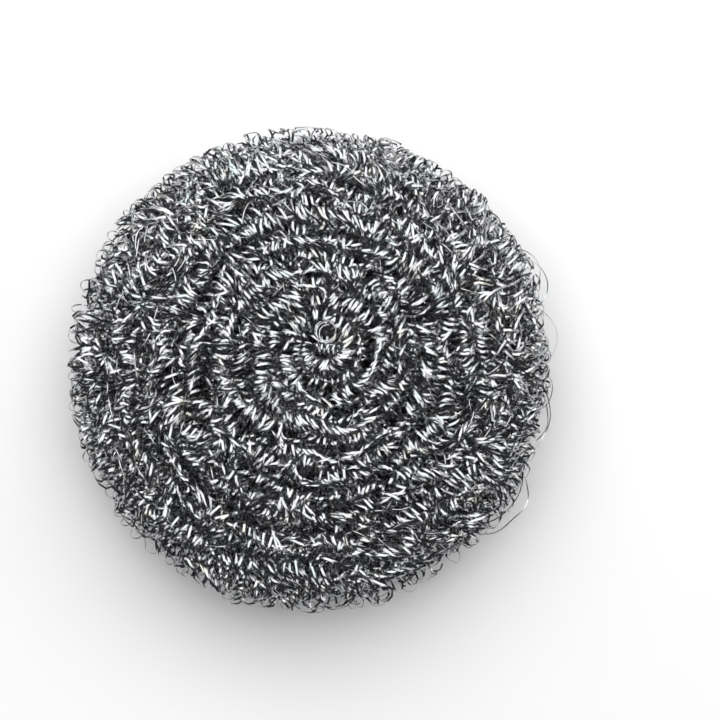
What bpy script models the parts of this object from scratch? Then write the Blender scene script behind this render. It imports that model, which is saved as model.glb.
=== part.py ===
"""Spiral metal scourer: flat steel ribbon, curled into a coil that is wound into a round pad.

The coil starts in the middle of the upper face, runs outwards in a spiral, over the rim and in
again to the middle of the underside, and each turn of it lies against the next. The pad rests on
its underside with +Z up, and its origin is on the ground under its middle. Metres throughout.
"""

import math

import bpy
import numpy as np
from mathutils import Vector
from mathutils.geometry import delaunay_2d_cdt

# The pad, over its curls
pad_diameter = 0.100
pad_height = 0.036  # of the dome, before the eye dips into it
pressed_depth = 0.0012  # how far the domed underside's crests are pressed flat where it rests
flat_radius = 0.009  # of the spot in its middle where the hollows and grooves are pressed out too
squareness = 2.5  # of the pad's section: 2 is an ellipse, and more has a fuller rim
eye_depth = 0.0014  # of the dip in the middle of the upper face
eye_radius = 0.009

# The coil, as it lies in the pad
coil_width = 0.0055  # from the groove on one side of a turn to the groove on the other
curl_spacing = 0.0037  # from one curl to the next along the coil
crest_length = 0.0031  # of a curl's crest, straight across the coil
crest_height = 0.0012  # over the middle level of the surface
hollow_depth = 0.0014  # between two curls of a turn, under that level
groove_depth = 0.0022  # between two turns, under that level
curl_slant = math.radians(34)  # of the curls across the coil, to the left and right by turns

# What the winding leaves uneven
eye_shift_x = 0.0030  # of the spiral's middle from the pad's
eye_shift_y = 0.0038
rim_wave = 0.0005  # in and out, round the rim
rim_wave_mix = ((0.6, 2, 0.8), (0.4, 5, 2.0))  # each wave's share, number round and start
curl_unevenness = 0.0004  # in the height of the crests
curl_drift = 0.0003  # in their place along the coil

# Steel ribbon
steel_colour = (0.38, 0.385, 0.40, 1.0)
steel_roughness = 0.28

# How it is worked out
seed = 11
section_steps = 4000
swing_sharpness = 4  # how many times faster than a sine wave the slant swings over


def clear_scene():
    for thing in list(bpy.data.objects):
        bpy.data.objects.remove(thing, do_unlink=True)


def pad_section():
    """The pad's section from the top's middle round the rim to the underside's, as four arrays.

    It is a superellipse at the middle level of the surface, with the eye's dip taken from its
    upper half. The arrays hold the distance along it, the radius, the height over its own middle,
    and the angle at which the surface faces up.
    """
    half_width = pad_diameter / 2 - crest_height
    half_height = (pad_height + pressed_depth) / 2 - crest_height
    turn = np.linspace(0.0, math.pi, section_steps)
    radius = half_width * np.sin(turn).clip(0.0) ** (2 / squareness)
    height = half_height * np.sign(np.cos(turn)) * np.abs(np.cos(turn)) ** (2 / squareness)
    height -= np.where(height > 0.0, eye_depth * np.exp(-((radius / eye_radius) ** 2)), 0.0)
    distance = np.concatenate([[0.0], np.cumsum(np.hypot(np.diff(radius), np.diff(height)))])
    facing = np.arctan2(np.gradient(radius), -np.gradient(height))
    return distance, radius, height, facing


def wind_coil(distance, radius):
    """Where each curl lies: how far along the section, and how far round, in radians.

    Each turn moves the coil on by its own width, and the curls are evenly spaced along it.
    """
    along = np.linspace(coil_width / 2, distance[-1] - coil_width / 2, 20 * section_steps)
    around = 2 * math.pi * along / coil_width
    reach = np.interp(along, distance, radius)
    run = np.concatenate([[0.0], np.cumsum(np.hypot(np.diff(around) * reach[1:], np.diff(along)))])
    stops = np.arange(0.0, run[-1], curl_spacing)
    return np.interp(stops, run, along), np.interp(stops, run, around)


def curl_points(along, around, distance, radius):
    """Five points for each curl: two on its crest, two in the hollow after it, one in the groove.

    The arrays hold each point's distance along the section, its angle round the pad with the
    curls straight across the coil, the angle that the slant and drift add, and its height. The
    slant leans to the left on one turn and to the right on the next, and swings over smoothly.
    It grows from none over the first turn at either end, where the curls fan out from the middle.
    A groove is shifted as far as the ends of the crests beside it.
    """
    random = np.random.default_rng(seed)
    drift = random.uniform(-curl_drift, curl_drift, len(along))
    crest = crest_height - random.uniform(0.0, curl_unevenness, len(along))
    hollow = np.full(len(along), -hollow_depth)
    groove = np.full(len(along), -groove_depth)
    turns_in = np.minimum(along, distance[-1] - along) / coil_width
    lean = math.tan(curl_slant) * (swing_sharpness * np.sin(around / 2)).clip(-1.0, 1.0)
    lean *= (turns_in - 0.5).clip(0.0, 1.0)
    points = []
    for across, onward, level in (
        (-crest_length / 2, 0.0, crest),
        (crest_length / 2, 0.0, crest),
        (-crest_length / 2, curl_spacing / 2, hollow),
        (crest_length / 2, curl_spacing / 2, hollow),
        (coil_width / 2, curl_spacing / 2, groove),
    ):
        place = along + across
        reach = np.interp(place, distance, radius).clip(coil_width / 5)
        sideways = min(across, crest_length / 2) * lean + drift
        points.append((place, around + onward / reach, sideways / reach, level))
    return [np.concatenate(column) for column in zip(*points)]


def join_neighbours(polar, azimuth):
    """Triangles that join points on a sphere to their neighbours, the last point being its foot.

    Seen from the foot, the sphere opens onto a plane with every circle still a circle, so
    Delaunay's rule picks the same triangles there. The plane's outline then closes on the foot.
    """
    reach = np.tan(polar[:-1] / 2)
    flat = np.column_stack([reach * np.cos(azimuth[:-1]), reach * np.sin(azimuth[:-1])])
    _, _, faces, sources, _, _ = delaunay_2d_cdt([Vector(point) for point in flat], [], [], 0, 1e-9)
    triangles = [[sources[corner][0] for corner in face] for face in faces]
    edges = {(face[i - 1], face[i]) for face in triangles for i in range(3)}
    outline = [edge for edge in edges if edge[::-1] not in edges]
    foot = len(polar) - 1
    return triangles + [[end, start, foot] for start, end in sorted(outline)]


def place_on_pad(along, around, level, section):
    """The points in space: out from the section by their level, then shifted with the spiral.

    The middle of the spiral lies off the pad's middle, and that shift fades to none at the rim,
    which waves in and out a little. What would reach below the ground is pressed flat on it, and
    so is all of the underside's middle.
    """
    distance, radius, height, facing = section
    tilt = np.interp(along, distance, facing)
    out = np.interp(along, distance, radius) + level * np.cos(tilt)
    up = np.interp(along, distance, height) + level * np.sin(tilt)
    rim_share = (out / out.max()) ** 2
    wave = sum(share * np.sin(count * around + start) for share, count, start in rim_wave_mix)
    out += rim_wave * rim_share * wave
    x = out * np.cos(around) + eye_shift_x * (1 - rim_share)
    y = out * np.sin(around) + eye_shift_y * (1 - rim_share)
    z = (up + (pad_height - pressed_depth) / 2).clip(0.0)
    z[(out < flat_radius) & (z < pad_height / 2)] = 0.0
    points = np.column_stack([x, y, z])
    points[:, :2] -= (points[:, :2].min(axis=0) + points[:, :2].max(axis=0)) / 2
    return points


def steel():
    material = bpy.data.materials.new("steel_ribbon")
    material.use_nodes = True
    shader = material.node_tree.nodes["Principled BSDF"]
    shader.inputs["Base Color"].default_value = steel_colour
    shader.inputs["Metallic"].default_value = 1.0
    shader.inputs["Roughness"].default_value = steel_roughness
    return material


def make_scourer():
    """The pad's outside as one closed mesh, with the coil's two ends closed on the faces' middles."""
    section = pad_section()
    distance, radius = section[:2]
    along, around = wind_coil(distance, radius)
    along, around, slant, level = curl_points(along, around, distance, radius)
    along = np.concatenate([[0.0], along, distance[-1:]])
    around, slant = (np.pad(angles, 1) for angles in (around, slant))
    level = np.pad(level, 1, constant_values=-hollow_depth)
    triangles = join_neighbours(math.pi * along / distance[-1], around)
    points = place_on_pad(along, around + slant, level, section)
    mesh = bpy.data.meshes.new("scourer")
    mesh.from_pydata(points.tolist(), [], triangles)
    mesh.materials.append(steel())
    mesh.shade_smooth()
    scourer = bpy.data.objects.new("scourer", mesh)
    bpy.context.scene.collection.objects.link(scourer)


clear_scene()
make_scourer()
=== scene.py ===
"""The looks of a spiral metal scourer: one long flat steel ribbon, curled and wound into a pad.

The ribbon curls round and round a strand, and the strand runs over the pad in a spiral, from the
eye in the upper face over the rim to the underside. On the outside one strand lies in the middle
of each turn of the coil, and another lower, in the groove beside it. Three more layers fill the
pad under them. A short coil stands on end in the eye, and loops, small arcs and single lengths of
ribbon stray over the curls and out of the rim.

A strand is an array of places, one for each step of each curl, with the way out of the pad,
across the strand and onward along it at each. A course is the middle line of a length of ribbon,
with the way its outer face looks and its roll about its own length at each point. All is in
metres and radians, unless a comment says otherwise.
"""

import math
from collections import namedtuple

import bpy
import numpy as np
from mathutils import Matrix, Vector


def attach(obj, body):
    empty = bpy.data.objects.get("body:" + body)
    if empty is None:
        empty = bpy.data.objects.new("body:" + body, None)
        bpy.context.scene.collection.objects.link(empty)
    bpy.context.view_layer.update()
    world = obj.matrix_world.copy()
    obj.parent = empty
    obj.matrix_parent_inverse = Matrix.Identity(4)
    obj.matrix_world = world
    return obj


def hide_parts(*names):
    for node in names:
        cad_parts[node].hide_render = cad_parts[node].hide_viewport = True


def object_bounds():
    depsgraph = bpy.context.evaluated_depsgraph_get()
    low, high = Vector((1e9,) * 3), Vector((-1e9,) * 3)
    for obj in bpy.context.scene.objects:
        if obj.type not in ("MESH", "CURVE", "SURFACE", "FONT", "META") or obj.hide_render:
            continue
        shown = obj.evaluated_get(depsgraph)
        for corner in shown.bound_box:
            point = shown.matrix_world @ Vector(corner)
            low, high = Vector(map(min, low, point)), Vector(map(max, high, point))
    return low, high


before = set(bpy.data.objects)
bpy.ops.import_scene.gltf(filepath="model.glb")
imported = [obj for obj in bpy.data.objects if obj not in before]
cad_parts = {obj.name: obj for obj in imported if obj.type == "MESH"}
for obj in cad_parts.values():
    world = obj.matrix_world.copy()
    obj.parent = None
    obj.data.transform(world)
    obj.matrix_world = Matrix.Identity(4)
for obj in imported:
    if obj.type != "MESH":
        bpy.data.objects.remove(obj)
cad_low, cad_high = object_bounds()
mm = 0.001

# The pad, from the frame and as its solid is shaped
pad_radius = (cad_high.x - cad_low.x) / 2
pad_height = cad_high.z
pad_middle = ((cad_high.x + cad_low.x) / 2, (cad_high.y + cad_low.y) / 2)
squareness = 2.5  # of its section: 2 is an ellipse, and more has a fuller rim
pressed_depth = 0.0012  # how far its underside is pressed flat where it rests
eye_depth = 0.0014
eye_radius = 0.009
eye_shift = (0.0030, 0.0038)  # of the spiral's middle from the pad's

# The ribbon, the finer lengths that stray, and wire, each with its width and its crown's height
ribbon_size = (0.00047, 0.00003)
stray_size = (0.00026, 0.00008)
wire_size = (0.00015, 0.00004)
eye_ribbon_size = (0.00034, 0.00004)

# Curls: their spacing along the strand, radius out of the pad and across the strand, slant across
# it, looseness (1 on the outside) and steps. Their strand's depth in the pad, how far it moves on
# in each turn, how far it lies beside its row's middle, and how much deeper it lies at the eye
Curls = namedtuple(
    "Curls",
    "spacing radius_out radius_across slant looseness steps inset row beside sunk",
    defaults=(0.0, 0.0, 0.0, 0.0),
)
coil_width = 0.0055  # between two grooves of the pad
slant = math.radians(27)
outer_strands = (
    Curls(0.00110, 0.0021, 0.0025, slant, 1.0, 10, 0.0026, coil_width),
    Curls(0.00135, 0.0021, 0.0022, -slant, 1.0, 10, 0.0036, coil_width, coil_width / 2, 0.0006),
)
inner_strands = {
    "second_turns": Curls(0.0016, 0.0022, 0.0024, slant, 1.3, 8, 0.0070, 0.0040),
    "third_turns": Curls(0.0020, 0.0022, 0.0026, -slant, 1.4, 8, 0.0107, 0.0048),
    "middle_turns": Curls(0.0024, 0.0022, 0.0026, slant, 1.4, 8, 0.0145, 0.0055),
}

# How they are laid
end_share = 0.15  # of a row that stays free at either end of the spiral
closeness = (0.78, 1.08)  # of the curls at the eye and at the rim, as shares of their spacing
curl_squareness = 2.15  # how flat they are pressed on each side: 2 is an ellipse
turned_up = 0.5  # how far the curls on the rim's slopes face up or down instead of outwards
pressed_reach = 0.0485  # from the pad's axis, past which its curls are pressed in
rim_give = 0.0042  # how far past that they still reach
ground_softness = 0.0008  # how gently curls flatten against the ground

# Waves that move the turns over the pad: size, number round it, start, and twist for each metre
# along the section. They fade towards the eye with this power of the reach
turn_waves = ((0.0013, 2, 1.0, 260.0), (0.0011, 3, 2.6, -190.0), (0.0008, 5, 0.4, 120.0))
wave_fading = 1.3

# How free strands and curls are at the eye, and how much freer at the rim, times their looseness
strand_freedom = (0.65, 0.95)
curl_freedom = (0.7, 0.9)
curl_restlessness = (0.6, 0.5)
wider_at_rim = 0.20  # the share by which curls are wider there
rim_sharpness = 6  # the power of the reach with which the next two set in
upright_at_rim = 0.4  # the share of their lean that curls lose at the rim
tuft_height = (0.00035, 0.00035)  # of the curls that stand up together, and how much more there
tuft_pace = (2.4, 0.05)  # the number of curls from one tuft to the next, and their tail, as below

# How uneven the winding is. Each is a sum of parts: a size, the number of curls from one change to
# the next, and a tail, the share of its cube by which a change is larger still
uneven_place = ((0.2, 1.0), (0.7, 3.5))  # of the curls along the strand, in curls
uneven_rise = ((0.00035, 15.0),)  # of the strand, out of the pad
uneven_side = ((0.0008, 5.0),)  # of the strand, across it
uneven_size = ((0.09, 1.0), (0.09, 4.0))  # of the curls, as a share
mean_slant = 0.7  # as a share of the curls' slant, as the next is
uneven_slant = ((0.9, 8.0),)
uneven_lean = ((0.22, 1.0), (0.38, 3.0, 0.1))  # besides their slant
uneven_topple = ((0.20, 1.0), (0.20, 3.0, 0.15))  # onward along the strand
uneven_lift = ((0.0004, 1.0), (0.00008, 0.35))  # of the curls, out of the pad
uneven_kink = ((0.00020, 0.35),)  # of the ribbon, onward
uneven_bow = ((0.0009, 2.5),)  # of a curl's two sides, onward
uneven_roll = ((0.25, 0.7), (0.20, 3.0))  # of the ribbon about its length
uneven_width = ((0.22, 5.0),)  # of the curls, as a share

# Where the upper face's turns dip, and show dark: x, y, half width and depth in millimetres
dips = (
    (3.4, 7.8, 2.6, 1.5),
    (-3.8, 2.4, 1.9, 2.0),
    (6.4, 2.6, 1.6, 1.8),
    (12.2, 7.0, 1.9, 1.8),
    (15.4, 2.4, 2.1, 1.6),
    (-1.8, -4.8, 2.2, 1.6),
)

# The short coil that stands on end in the eye
eye_coil_radius = 0.0021
eye_coil_curls = Curls(0.0007, eye_coil_radius, eye_coil_radius, 0.0, 0.8, 24)
eye_coil_count = 6
eye_coil_place = (0.0030, 0.0083, 0.0357)
eye_coil_lean = (0.00030, -0.00024)  # how far each curl lies from the one over it
eye_coil_roll = math.radians(-84)  # which turns the ribbon's face up
eye_coil_squareness = 2.0

# Short strands beside it: middle x, y and height in millimetres, bearing in degrees, number of
# curls, and their spacing and radius across in millimetres
eye_strands = (
    (3.8, 4.4, 33.9, -4, 4, 1.05, 1.35),
    (-0.4, 2.6, 34.0, -72, 5, 0.95, 1.25),
)
eye_strand_curls = Curls(0.0, 0.0010, 0.0, 0.1, 0.6, 16)  # with the table's spacing and radius

# Loops of ribbon pulled out of the rim: middle x and y, radius and height in millimetres, and the
# bearings in degrees between which each one shows
rim_loops = (
    (34.0, 28.5, 5.8, 22, 80, -20),
    (37.5, 24.5, 5.8, 20, 75, -25),
    (42.9, 20.0, 5.0, 21, 130, -90),
    (44.0, 17.3, 5.9, 18, 110, -90),
    (44.3, 6.6, 6.8, 20, 100, -85),
    (46.5, -4.2, 4.2, 20, 75, -100),
    (40.5, -9.5, 9.7, 19, 45, -110),
    (38.0, -8.0, 11.5, 22, 5, -90),
    (34.5, -23.0, 9.7, 20, 45, -120),
    (36.0, -24.5, 9.9, 15, 10, -105),
    (-10.4, -46.2, 2.9, 13, -230, -95),
    (-4.6, -48.0, 1.7, 12, 120, 300),
    (2.6, -47.4, 2.6, 13, -215, -85),
    (9.8, -47.2, 2.4, 12, -220, -70),
    (-16.6, -44.9, 2.0, 13, 120, 285),
    (14.6, -45.9, 1.9, 12, 130, 330),
)
loop_steps = 36
loop_changes = 4.0  # of its unevenness along a loop
loop_unevenness = (0.04, 0.0003)  # of its radius, as a share, and of its height
loop_slope = 0.15
loop_roll = (0.8, 0.4)  # its mean, and how much it changes

# Small arcs that stand out of the rim all round
tuft_count = 90
tuft_heights = (0.009, 0.027)  # over the ground
tuft_radii = (0.0010, 0.0020)
tuft_slant = 1.0  # at most, to either side
tuft_arc = 2.0  # to either side of its middle
tuft_steps = 24
tuft_unevenness = (0.15, 0.5)  # of its radius, as a share, and of its roll
tuft_overlap = 0.5  # how many radii inside the pad's outside its middle lies
pole_steps = 200  # of the section near its two ends, which tufts keep clear of

# Single lengths over the curls: how many, half their length, where they lie as a share of the way
# from the top's middle to the underside's, their angle to the turns, and their depth in the pad
Lengths = namedtuple("Lengths", "count half_length share angle inset")
loose_wires = Lengths(90, (0.0020, 0.0045), (0.12, 0.46), (-1.4, 1.4), 0.0012)
rim_wires = Lengths(150, (0.0022, 0.0050), (0.28, 0.44), (-1.0, 1.0), 0.0007)
loose_bows = Lengths(50, (0.0022, 0.0042), (0.20, 0.44), (1.0, 2.1), 0.0008)
underside_every = 4  # one in so many lies on the underside
length_steps = 16
length_bow = 0.4  # at most, as a share of half its length
length_dip = 0.6  # of its ends into the pad, as the same share
length_roll = 0.6
least_height = 0.0002  # of their middle lines over the ground

# Steel: its greys and tints, how many spots of each there are to the metre, the noise at which
# they start and are full, and how strong they get
shaded_grey = (0.34, 0.345, 0.36, 1.0)
clear_grey = (0.42, 0.425, 0.44, 1.0)
clear_spots = 900.0
clear_range = (0.35, 0.65)
cool_tint = (0.32, 0.39, 0.385, 1.0)
cool_spots = 160.0
cool_range = (0.57, 0.70)
cool_strength = 0.6
straw_tint = (0.44, 0.41, 0.32, 1.0)
straw_spots = 210.0
straw_range = (0.58, 0.72)
straw_strength = 0.45
least_roughness = 0.14
dull_spots = 2500.0
dull_roughness = 0.11  # more than the least
grain_spots = 9000.0
grain_detail = 3.0
grain_depth = 0.0001
grain_strength = 0.10

# The stage and its lamps: place, width and power in watts
floor_reach = 3
floor_colour = (0.92, 0.92, 0.92, 1.0)
floor_roughness = 0.9
studio_colour = (0.05, 0.05, 0.055, 1.0)
studio_strength = 1.0
lamps = {
    "softbox": ((0.00, 0.52, 1.13), 1.85, 28.5),
    "lamp_right": ((1.1, 0.35, 0.55), 0.8, 2.8),
    "lamp_back": ((-0.70, 1.00, 0.30), 0.7, 1.6),
}

# The view, straight down
picture_pixels = 720
pixels_per_metre = 4780  # at the pad's middle height
view_shift = (50.5, 10)  # of the picture's middle from the pad's axis, right and up in pixels
middle_height = 0.018
camera_distance = 0.6  # from there

# How it is worked out
seed = 6
section_steps = 4000
path_steps = 80000
map_rows = 64  # of ribbon, one under another on the UV map
map_margin = 0.2  # of a row's strip for one side of the ribbon

# The edge is how far each place lies from the pad's axis, as a share of the pad's radius
Strand = namedtuple("Strand", "curl centre out across onward edge")


def superellipse(angle, square):
    """The cosine and sine of an angle, their size raised to 2 / square and their sign kept."""
    return [np.sign(way) * np.abs(way) ** (2 / square) for way in (np.cos(angle), np.sin(angle))]


def section(inset):
    """The pad's section this far inside its outside, from the top's middle to the underside's.

    It is a superellipse, with the eye's dip, a bell curve, taken from its upper half. The arrays
    hold the distance along it, its radius, its height and the angle at which it faces up.
    """
    half_height = (pad_height + pressed_depth) / 2 - inset
    height, radius = superellipse(np.linspace(0.0, math.pi, section_steps), squareness)
    radius = radius * (pad_radius - inset)
    height = height * half_height
    dip = eye_depth * np.exp(-((radius / eye_radius) ** 2))
    height -= np.where(height > 0.0, dip, 0.0)
    distance = np.concatenate([[0.0], np.cumsum(np.hypot(np.diff(radius), np.diff(height)))])
    facing = np.arctan2(np.gradient(radius), -np.gradient(height))
    return distance, radius, height + (pad_height - pressed_depth) / 2, facing


def wander(curl, random, every=1.0, tail=0.0):
    """Smooth random numbers with a spread of about 1: one for every so many curls, eased between.

    The ease is 3 t squared less 2 t cubed. The tail makes the rare large ones larger still, by
    that share of their cube.
    """
    place = curl / every
    values = random.standard_normal(int(place.max()) + 2)
    values += tail * values**3
    before = place.astype(int)
    ease = place - before
    ease = ease * ease * (3 - 2 * ease)
    return values[before] * (1 - ease) + values[before + 1] * ease


def unevenness(curl, random, parts):
    """The sum of the parts, each its size times smooth random numbers at its own pace."""
    return sum(size * wander(curl, random, *pace) for size, *pace in parts)


def growing(values, edge):
    """The first value at the eye, and more by the second at the rim, in proportion to the edge."""
    return values[0] + values[1] * edge


def lay(section_arrays, curl, along, around):
    """A strand at these distances along the section and angles round the pad.

    Each place is turned about the pad's axis, then shifted with the spiral, whose middle is the
    eye, by a share that fades to none at the rim. The way out of the pad is turned up on the
    upper slopes of the rim, and down on the lower ones, by the sine of twice its tilt.
    """
    distance, radius, height, facing = section_arrays
    reach = np.interp(along, distance, radius)
    tilt = np.interp(along, distance, facing)
    tilt += turned_up * np.sin(2 * tilt)
    edge = reach / pad_radius
    cos, sin = np.cos(around), np.sin(around)
    out = np.stack([np.cos(tilt) * cos, np.cos(tilt) * sin, np.sin(tilt)], 1)
    across = np.stack([np.sin(tilt) * cos, np.sin(tilt) * sin, -np.cos(tilt)], 1)
    onward = np.stack([-sin, cos, 0 * sin], 1)
    x = reach * cos + eye_shift[0] * (1 - edge**2) + pad_middle[0]
    y = reach * sin + eye_shift[1] * (1 - edge**2) + pad_middle[1]
    centre = np.stack([x, y, np.interp(along, distance, height)], 1)
    return Strand(curl, centre, out, across, onward, edge)


def straight(curl, middle, ways):
    """A strand through these places, with the same ways out, across and onward all along it."""
    out, across, onward = (np.tile(way, (len(curl), 1)) for way in ways)
    return Strand(curl, middle, out, across, onward, np.zeros(len(curl)))


def curl_steps(count, curls):
    """How many curls in each step of so many curls lies, from none to all of them."""
    return np.arange(count * curls.steps + 1) / curls.steps


def turn_wave(along, around, reach):
    """How far waves move a turn along the section: sines of the angle that alter with the turn.

    They are much the same for neighbouring turns, and fade out towards the eye.
    """
    wave = np.zeros(len(along))
    for size, count, start, twist in turn_waves:
        wave += size * np.sin(count * around + start + twist * along)
    return wave * (reach / pad_radius) ** wave_fading


def wind(arrays, curls, random):
    """Where the steps of a spiral's curls lie: their curl, distance along the section and angle.

    The distance along the section grows by a row in each turn, and equal steps are taken along
    the strand, which are closer at the eye. The curls are then shifted along it at random, and
    its turns are moved by waves.
    """
    distance, radius = arrays[:2]
    free_end = end_share * curls.row
    along = np.linspace(free_end, distance[-1] - free_end, path_steps)
    around = 2 * math.pi * along / curls.row
    reach = np.interp(along, distance, radius)
    step = np.hypot(np.diff(around) * reach[1:], np.diff(along))
    step /= np.interp(reach[1:], (0.0, pad_radius), closeness)
    run = np.concatenate([[0.0], np.cumsum(step)])
    curl = curl_steps(int(run[-1] / curls.spacing) - 1, curls)
    advance = curl + curls.looseness * unevenness(curl, random, uneven_place)
    along = np.interp(advance * curls.spacing, run, along)
    around = np.interp(advance * curls.spacing, run, around)
    along += curls.beside + turn_wave(along, around, np.interp(along, distance, radius))
    return curl, along.clip(0.0), around


def dip_depth(centre):
    """How far the dips sink the upper face's places: a bell curve about each dip's middle."""
    depth = np.zeros(len(centre))
    for x, y, half_width, deepest in dips:
        off = np.hypot(centre[:, 0] - mm * x, centre[:, 1] - mm * y)
        depth += mm * deepest * np.exp(-((off / (mm * half_width)) ** 2))
    return depth * (centre[:, 2] > pad_height / 2)


def spiral(curls, random):
    """One strand of a layer: a spiral over the pad's section, which rises and strays at random.

    It rises in tufts of a few curls and in long swells, and more so at the rim. It sinks towards
    the eye, in proportion to the way from the rim, and into the dips.
    """
    arrays = section(curls.inset)
    strand = lay(arrays, *wind(arrays, curls, random))
    free = curls.looseness * growing(strand_freedom, strand.edge)
    tuft = growing(tuft_height, strand.edge**rim_sharpness) * wander(strand.curl, random, *tuft_pace)
    lift = free * (tuft + unevenness(strand.curl, random, uneven_rise))
    lift -= curls.sunk * (1 - strand.edge) + dip_depth(strand.centre)
    side = free * unevenness(strand.curl, random, uneven_side)
    centre = strand.centre + strand.out * lift[:, None] + strand.across * side[:, None]
    return strand._replace(centre=centre)


def press(points):
    """Presses points gently up off the ground and in at the rim.

    A height becomes half the sum of itself and its hypotenuse with the ground's softness. Past
    the pressed reach, the rest becomes the rim's give times the hyperbolic tangent of the rest
    over that give.
    """
    points[:, 2] = 0.5 * (points[:, 2] + np.sqrt(points[:, 2] ** 2 + ground_softness**2))
    reach = np.hypot(points[:, 0], points[:, 1])
    past = (reach - pressed_reach).clip(0.0) / rim_give
    held = np.where(past > 0.0, pressed_reach + rim_give * np.tanh(past), reach)
    points[:, :2] *= (held / reach)[:, None]


def curl_round(strand, curls, random, turned=0.0, square=curl_squareness):
    """The course of the ribbon as it curls round a strand, turned about its length by an angle.

    Each curl is a superellipse about the strand, slanted to one side: a is its part out of the
    pad and b its part across. A bow bends its two sides onward by the square of their sine. Its
    size, lean, topple along the strand, kinks and the ribbon's roll are its own, and neighbours
    have much the same, so that they lie in fans.
    """
    curl = strand.curl
    rim_share = strand.edge**rim_sharpness
    loose = curls.looseness * growing(curl_freedom, strand.edge)
    restless = curls.looseness * growing(curl_restlessness, strand.edge)
    size = 1 + loose * unevenness(curl, random, uneven_size)
    lean = curls.slant * (mean_slant + unevenness(curl, random, uneven_slant))
    lean += loose * unevenness(curl, random, uneven_lean)
    lean *= 1 - upright_at_rim * rim_share
    topple = restless * unevenness(curl, random, uneven_topple)
    lift = loose * unevenness(curl, random, uneven_lift)
    kink = loose * unevenness(curl, random, uneven_kink)
    bow = loose * unevenness(curl, random, uneven_bow)
    roll = turned + restless * unevenness(curl, random, uneven_roll)
    wide = 1 + strand.edge * (wider_at_rim + unevenness(curl, random, uneven_width))
    phase = 2 * math.pi * curl
    cos, sin = np.cos(phase), np.sin(phase)
    a, b = superellipse(phase, square)
    a *= curls.radius_out * size
    b *= curls.radius_across * size * wide
    points = (
        strand.centre
        + strand.out * (a * np.cos(topple) + lift)[:, None]
        + strand.across * (b * np.cos(lean))[:, None]
        + strand.onward * (b * np.sin(lean) + a * np.sin(topple) + kink + bow * sin**2)[:, None]
    )
    press(points)
    return points, strand.out * cos[:, None] + strand.across * sin[:, None], roll


def unit(vectors):
    """Vectors divided by their lengths."""
    return vectors / np.linalg.norm(vectors, axis=1)[:, None]


def crowned(course, size):
    """A course of ribbon as rings of three points: its two edges, and the ridge of its low crown.

    The edges lie half a width to either side, square to the course and to the way its outer face
    looks, turned by its roll, and the ridge stands out by the crown's height. What would reach
    below the ground is pressed flat on it.
    """
    points, faces_out, roll = course
    width, crown = size
    along = unit(np.gradient(points, axis=0))
    sideways = unit(np.cross(along, faces_out))
    out = np.cross(sideways, along)
    cos, sin = np.cos(roll)[:, None], np.sin(roll)[:, None]
    sideways, out = sideways * cos + out * sin, out * cos - sideways * sin
    edges = sideways * width / 2
    rings = np.stack([points - edges, points + edges, points + out * crown], 1)
    rings[:, :, 2] = rings[:, :, 2].clip(0.0)
    return rings


def skin(courses, size):
    """The closed skins over the rings of some courses: places, quads and end triangles.

    Each step from ring to ring has three quads, one for each side, and each end one triangle.
    """
    places, quads, caps = [], [], []
    start = 0
    for course in courses:
        rings = crowned(course, size)
        ring = start + 3 * np.arange(len(rings) - 1)[:, None]
        side = np.arange(3)[None, :]
        after = (side + 1) % 3
        quads.append(np.stack([ring + side, ring + after, ring + 3 + after, ring + 3 + side], 2))
        last = start + 3 * (len(rings) - 1)
        caps.append([[start + 2, start + 1, start], [last, last + 1, last + 2]])
        places.append(rings.reshape(-1, 3))
        start += 3 * len(rings)
    return [np.concatenate(parts) for parts in (places, quads, caps)]


def skin_map(steps, caps):
    """The UV map's corners for the quads of so many steps, and then for so many end triangles.

    The steps lie in order along rows, and each row has a strip for each of the three sides. The
    end triangles share the map's corner.
    """
    row_length = math.ceil(steps / map_rows)
    row, column = np.divmod(np.arange(steps), row_length)
    left, right = column / row_length, (column + 1) / row_length
    strip_height = 1 / (3 * map_rows)
    strip = (3 * row[:, None] + np.arange(3)) * strip_height
    margin = map_margin * strip_height
    low, high = strip + margin, strip + strip_height - margin
    left, right = (np.repeat(ends[:, None], 3, 1) for ends in (left, right))
    quad_corners = np.stack([left, low, left, high, right, high, right, low], 2)
    cap_corners = np.tile([0.0, 0.0, 0.0, margin, margin, margin], caps)
    return np.concatenate([quad_corners.ravel(), cap_corners])


def sharpen_edges(mesh):
    """Marks the ribbon's two edges as sharp, which join like places of neighbouring rings."""
    ends = np.empty(2 * len(mesh.edges), np.int32)
    mesh.edges.foreach_get("vertices", ends)
    first, second = ends.reshape(-1, 2).T % 3
    sharp = (first == second) & (first < 2)
    mesh.attributes.new("sharp_edge", "BOOLEAN", "EDGE").data.foreach_set("value", sharp)


def ribbon(name, courses, size, material):
    """One piece made of courses of ribbon: a smooth skin with two sharp edges, over their rings."""
    places, quads, caps = skin(courses, size)
    corners = np.concatenate([quads.ravel(), caps.ravel()])
    sizes = np.concatenate([np.full(3 * len(quads), 4), np.full(len(caps), 3)])
    mesh = bpy.data.meshes.new(name)
    mesh.vertices.add(len(places))
    mesh.vertices.foreach_set("co", places.astype(np.float32).ravel())
    mesh.loops.add(len(corners))
    mesh.loops.foreach_set("vertex_index", corners.astype(np.int32))
    mesh.polygons.add(len(sizes))
    mesh.polygons.foreach_set("loop_start", (np.cumsum(sizes) - sizes).astype(np.int32))
    mesh.polygons.foreach_set("use_smooth", np.ones(len(sizes), bool))
    mesh.update(calc_edges=True)
    sharpen_edges(mesh)
    ribbon_map = mesh.uv_layers.new(name="OFBake")
    ribbon_map.uv.foreach_set("vector", skin_map(len(quads), len(caps)).astype(np.float32))
    mesh.materials.append(material)
    piece = bpy.data.objects.new(name, mesh)
    bpy.context.scene.collection.objects.link(piece)
    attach(piece, "root")
    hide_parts("scourer")


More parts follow.
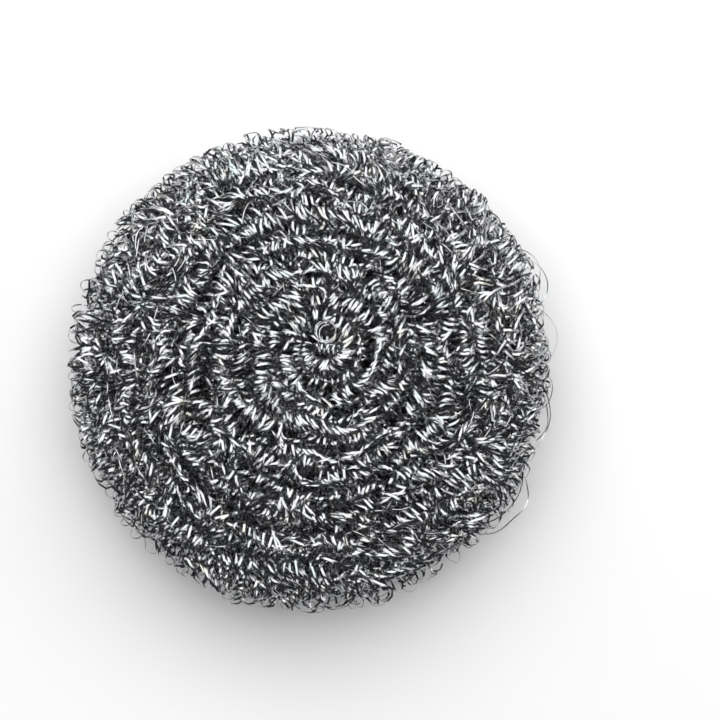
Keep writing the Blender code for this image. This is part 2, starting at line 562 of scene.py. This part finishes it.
def eye_coil(random):
    """The short coil on end in the eye: a strand nearly straight down, its faces turned up."""
    curl = curl_steps(eye_coil_count, eye_coil_curls)
    middle = np.zeros((len(curl), 3)) + eye_coil_place
    middle[:, :2] += np.outer(curl, eye_coil_lean)
    middle[:, 2] -= eye_coil_curls.spacing * curl
    strand = straight(curl, middle, ((1, 0, 0), (0, 1, 0), (0, 0, -1)))
    return curl_round(strand, eye_coil_curls, random, eye_coil_roll, eye_coil_squareness)


def eye_curls(random):
    """Short lengths of strand beside the eye's coil, each straight and level, along its bearing."""
    courses = []
    for x, y, height, bearing, count, spacing, radius in eye_strands:
        curls = eye_strand_curls._replace(spacing=mm * spacing, radius_across=mm * radius)
        curl = curl_steps(count, curls)
        onward = np.array([math.cos(math.radians(bearing)), math.sin(math.radians(bearing)), 0.0])
        across = np.array([-onward[1], onward[0], 0.0])
        middle = mm * np.array([x, y, height]) + np.outer(curl - count / 2, curls.spacing * onward)
        strand = straight(curl, middle, ((0, 0, 1), across, onward))
        courses.append(curl_round(strand, curls, random))
    return courses


def stray_loops(random):
    """The loops out of the rim, each an arc of a circle that is a little slanted and uneven.

    Its height changes with the sine of the bearing, by its own slope.
    """
    courses = []
    for x, y, radius, height, first, last in rim_loops:
        bearing = np.radians(np.linspace(first, last, loop_steps))
        place = np.linspace(0.0, loop_changes, loop_steps)
        reach = mm * radius * (1 + loop_unevenness[0] * wander(place, random))
        slope = loop_slope * random.standard_normal()
        faces_out = np.stack([np.cos(bearing), np.sin(bearing), 0 * bearing], 1)
        points = mm * np.array([x, y, height]) + faces_out * reach[:, None]
        points[:, 2] += slope * reach * np.sin(bearing) + loop_unevenness[1] * wander(place, random)
        courses.append((points, faces_out, loop_roll[0] + loop_roll[1] * wander(place, random)))
    return courses


def rim_tufts(random):
    """Small arcs that stand out of the rim all round, each a slanted part of an uneven circle.

    Its middle lies inside the pad's outside at its own height, and it opens inwards.
    """
    rim = slice(pole_steps, -pole_steps)
    radius_of_pad, height_of_pad = (array[rim] for array in section(0.0)[1:3])
    turn = np.linspace(-tuft_arc, tuft_arc, tuft_steps + 1)
    place = turn + tuft_arc
    courses = []
    for number in range(tuft_count):
        around = 2 * math.pi * (number + random.uniform(-0.5, 0.5)) / tuft_count
        height = random.uniform(*tuft_heights)
        radius = random.uniform(*tuft_radii)
        tilt = random.uniform(-tuft_slant, tuft_slant)
        out = np.array([math.cos(around), math.sin(around), 0.0])
        side = np.array([-out[1] * math.cos(tilt), out[0] * math.cos(tilt), math.sin(tilt)])
        faces_out = np.outer(np.cos(turn), out) + np.outer(np.sin(turn), side)
        reach = radius * (1 + tuft_unevenness[0] * wander(place, random))
        outside = radius_of_pad[np.argmin(np.abs(height_of_pad - height))]
        middle = out * (outside - tuft_overlap * radius) + np.array([0.0, 0.0, height])
        roll = tuft_unevenness[1] * wander(place, random)
        courses.append((middle + faces_out * reach[:, None], faces_out, roll))
    return courses


def loose_lengths(lengths, random):
    """Single lengths of ribbon that lie over the curls, on both faces, each a shallow bow.

    Each crosses a place at its own angle, bends sideways as a parabola, and dips in at both ends
    with the fourth power of the way from its middle.
    """
    arrays = section(lengths.inset)
    distance, radius = arrays[:2]
    t = np.linspace(-1.0, 1.0, length_steps + 1)
    courses = []
    for number in range(lengths.count):
        length = random.uniform(*lengths.half_length)
        share = random.uniform(*lengths.share)
        along = distance[-1] * (share if number % underside_every else 1 - share)
        reach = np.interp(along, distance, radius)
        angle = random.uniform(*lengths.angle)
        bow = random.uniform(-length_bow, length_bow) * length
        onward = length * t * math.cos(angle) - bow * t**2 * math.sin(angle)
        across = length * t * math.sin(angle) + bow * t**2 * math.cos(angle)
        around = random.uniform(0.0, 2 * math.pi) + onward / reach
        strand = lay(arrays, t, along + across, around)
        points = strand.centre - strand.out * (length_dip * length * t**4)[:, None]
        points[:, 2] = points[:, 2].clip(least_height)
        courses.append((points, strand.out, length_roll * wander(t + 1, random)))
    return courses


class Signal:
    """One output of a node. Python's operators on it add Math nodes."""

    def __init__(self, tree, socket):
        self.tree = tree
        self.socket = socket

    def node(self, kind, settings, inputs, output=0):
        """Adds a node of a type: its settings are set first, then its inputs' values and links."""
        node = self.tree.nodes.new(kind)
        for name, value in settings.items():
            setattr(node, name, value)
        for name, value in inputs.items():
            if isinstance(value, Signal):
                self.tree.links.new(value.socket, node.inputs[name])
            else:
                node.inputs[name].default_value = value
        return Signal(self.tree, node.outputs[output])

    def maths(self, operation, *values):
        """A Math node on these values and links."""
        return self.node("ShaderNodeMath", {"operation": operation}, dict(enumerate(values)))

    def __add__(self, other):
        return self.maths("ADD", self, other)

    def __mul__(self, other):
        return self.maths("MULTIPLY", self, other)

    __radd__ = __add__
    __rmul__ = __mul__

    def noise(self, scale, detail=2.0):
        """Noise at these places, about 0.5, with this many features to the metre."""
        inputs = {"Vector": self, "Scale": scale, "Detail": detail}
        return self.node("ShaderNodeTexNoise", {}, inputs)

    def above(self, low, high):
        """0 where this is under low, 1 where it is over high, and eased between."""
        inputs = {"Value": self, "From Min": low, "From Max": high}
        return self.node("ShaderNodeMapRange", {"interpolation_type": "SMOOTHSTEP"}, inputs)

    def between(self, first, second):
        """The first colour where this is 0, the second where it is 1."""
        inputs = {0: self, 6: first, 7: second}
        return self.node("ShaderNodeMix", {"data_type": "RGBA"}, inputs, 2)


def steel():
    """Bright steel ribbon: clear grey, with a trace of blue-green and straw tint, duller in spots.

    Each tint is mixed in where its own noise is high, and fine grain is raised as bump.
    """
    material = bpy.data.materials.new("steel_ribbon")
    material.use_nodes = True
    tree = material.node_tree
    shader = tree.nodes["Principled BSDF"]
    place = Signal(tree, tree.nodes.new("ShaderNodeTexCoord").outputs["Object"])
    colour = place.noise(clear_spots).above(*clear_range).between(shaded_grey, clear_grey)
    cool = place.noise(cool_spots).above(*cool_range) * cool_strength
    colour = cool.between(colour, cool_tint)
    straw = place.noise(straw_spots).above(*straw_range) * straw_strength
    colour = straw.between(colour, straw_tint)
    roughness = least_roughness + dull_roughness * place.noise(dull_spots)
    grain = place.noise(grain_spots, grain_detail)
    relief = {"Strength": grain_strength, "Distance": grain_depth, "Height": grain}
    bump = grain.node("ShaderNodeBump", {}, relief)
    shader.inputs["Metallic"].default_value = 1.0
    tree.links.new(colour.socket, shader.inputs["Base Color"])
    tree.links.new(roughness.socket, shader.inputs["Roughness"])
    tree.links.new(bump.socket, shader.inputs["Normal"])
    return material


def make_pad():
    """All the pieces. The outer strands are cut in two where they come round the widest place."""
    random = np.random.default_rng(seed)
    metal = steel()
    upper, lower = [], []
    for curls in outer_strands:
        strand = spiral(curls, random)
        course = curl_round(strand, curls, random)
        widest = int(np.argmax(strand.edge))
        upper.append([part[: widest + 1] for part in course])
        lower.append([part[widest:] for part in course])
    ribbon("upper_turns", upper, ribbon_size, metal)
    ribbon("lower_turns", lower, ribbon_size, metal)
    for name, curls in inner_strands.items():
        ribbon(name, [curl_round(spiral(curls, random), curls, random)], ribbon_size, metal)
    ribbon("eye_coil", [eye_coil(random)], wire_size, metal)
    ribbon("eye_curls", eye_curls(random), eye_ribbon_size, metal)
    ribbon("stray_loops", stray_loops(random), stray_size, metal)
    ribbon("loose_wires", loose_lengths(loose_wires, random), wire_size, metal)
    ribbon("rim_wires", loose_lengths(rim_wires, random), stray_size, metal)
    ribbon("rim_tufts", rim_tufts(random), stray_size, metal)
    ribbon("loose_bows", loose_lengths(loose_bows, random), ribbon_size, metal)


def make_stage():
    """A plain pale floor under a dim even studio."""
    near, far = -floor_reach, floor_reach
    corners = [(near, near, 0), (far, near, 0), (far, far, 0), (near, far, 0)]
    floor_mesh = bpy.data.meshes.new("floor")
    floor_mesh.from_pydata(corners, [], [(0, 1, 2, 3)])
    floor = bpy.data.objects.new("floor", floor_mesh)
    bpy.context.scene.collection.objects.link(floor)
    material = bpy.data.materials.new("floor")
    material.use_nodes = True
    shader = material.node_tree.nodes["Principled BSDF"]
    shader.inputs["Base Color"].default_value = floor_colour
    shader.inputs["Roughness"].default_value = floor_roughness
    floor_mesh.materials.append(material)
    world = bpy.data.worlds.new("studio")
    bpy.context.scene.world = world
    world.use_nodes = True
    world.node_tree.nodes["Background"].inputs["Color"].default_value = studio_colour
    world.node_tree.nodes["Background"].inputs["Strength"].default_value = studio_strength


def make_lamps():
    """Square soft lamps, each facing the middle of the floor."""
    for name, (place, width, power) in lamps.items():
        lamp = bpy.data.lights.new(name, "AREA")
        lamp.shape = "SQUARE"
        lamp.size = width
        lamp.energy = power
        thing = bpy.data.objects.new(name, lamp)
        bpy.context.scene.collection.objects.link(thing)
        thing.location = place
        thing.rotation_euler = (-Vector(place)).to_track_quat("-Z", "Y").to_euler()


def make_camera():
    """A camera that looks straight down. Its lens shows the picture's width at its distance."""
    camera = bpy.data.cameras.new("camera")
    thing = bpy.data.objects.new("camera", camera)
    bpy.context.scene.collection.objects.link(thing)
    span = picture_pixels / pixels_per_metre
    camera.lens = camera.sensor_width * camera_distance / span
    right, up = (pixels / pixels_per_metre for pixels in view_shift)
    thing.location = (right, up, middle_height + camera_distance)
    bpy.context.scene.camera = thing


make_pad()
make_stage()
make_lamps()
make_camera()
bpy.context.scene.view_settings.view_transform = "Standard"
